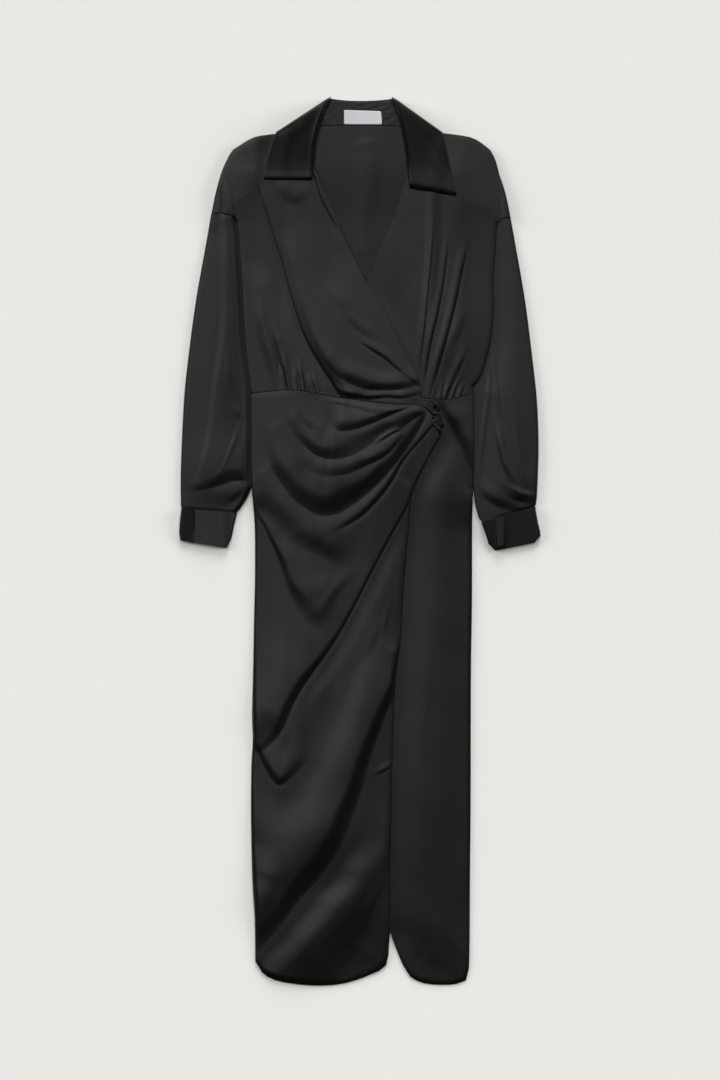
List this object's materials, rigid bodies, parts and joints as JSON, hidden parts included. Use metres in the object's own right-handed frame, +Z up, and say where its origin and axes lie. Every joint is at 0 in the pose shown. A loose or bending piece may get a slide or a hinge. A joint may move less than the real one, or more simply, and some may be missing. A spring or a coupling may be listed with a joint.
{
  "type": "wrap dress",
  "caption": "Long-sleeved satin wrap dress with a shirt collar, drawn in to a twisted knot at the waist and laid flat on its back.",
  "frame": {"origin": "middle of the dress's outline, on the surface that it lies on", "axes": "+Y from the hem to the collar, +X to the viewer's right, +Z up from the surface, out of the dress's front"},
  "size_m": [0.5412, 1.3322, 0.0225],
  "materials": {
    "satin": "black satin, soft sheen",
    "label": "white woven tape, bare"
  },
  "bodies": {
    "root": {"back_bodice": "satin", "over_bodice": "satin", "under_bodice": "satin", "back_skirt": "satin", "over_skirt": "satin", "under_skirt": "satin", "left_sleeve": "satin", "right_sleeve": "satin", "left_cuff": "satin", "right_cuff": "satin", "collar_stand": "satin", "collar_fall": "satin", "neck_label": "label", "waist_knot": "satin"}
  },
  "joints": []
}
